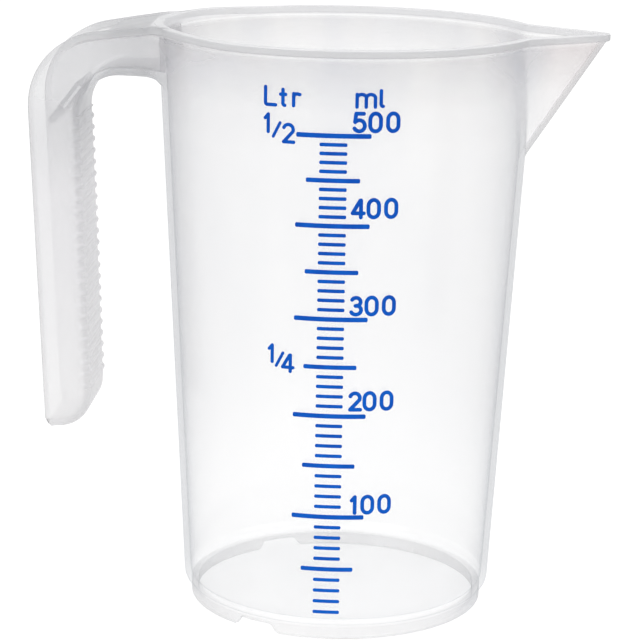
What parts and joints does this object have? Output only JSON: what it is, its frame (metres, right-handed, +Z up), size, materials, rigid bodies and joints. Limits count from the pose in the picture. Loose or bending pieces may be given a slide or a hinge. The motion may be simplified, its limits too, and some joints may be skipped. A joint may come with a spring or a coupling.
{
  "type": "measuring jug",
  "caption": "Tapered translucent plastic measuring jug with a V-shaped pouring spout, a free-ended channel handle with finger ribs and a blue printed millilitre scale.",
  "frame": {"origin": "centre of the foot ring on the table, on the axis of the tapered cup", "axes": "+Z up, +X from the cup axis out along the spout, -X to the handle, -Y out of the printed scale"},
  "size_m": [0.1309, 0.0876, 0.135],
  "materials": {
    "body_plastic": "clear-milky moulded polypropylene, satin gloss",
    "scale_ink": "printed blue ink, slight sheen"
  },
  "bodies": {
    "root": {"vessel": "body_plastic", "foot_ring": "body_plastic", "rim": "body_plastic", "spout": "body_plastic", "handle_arm": "body_plastic", "handle_grip": "body_plastic", "grip_ribs": "body_plastic", "handle_brace": "body_plastic", "scale_lines_100ml": "scale_ink", "scale_lines_50ml": "scale_ink", "scale_lines_10ml": "scale_ink"}
  },
  "joints": []
}
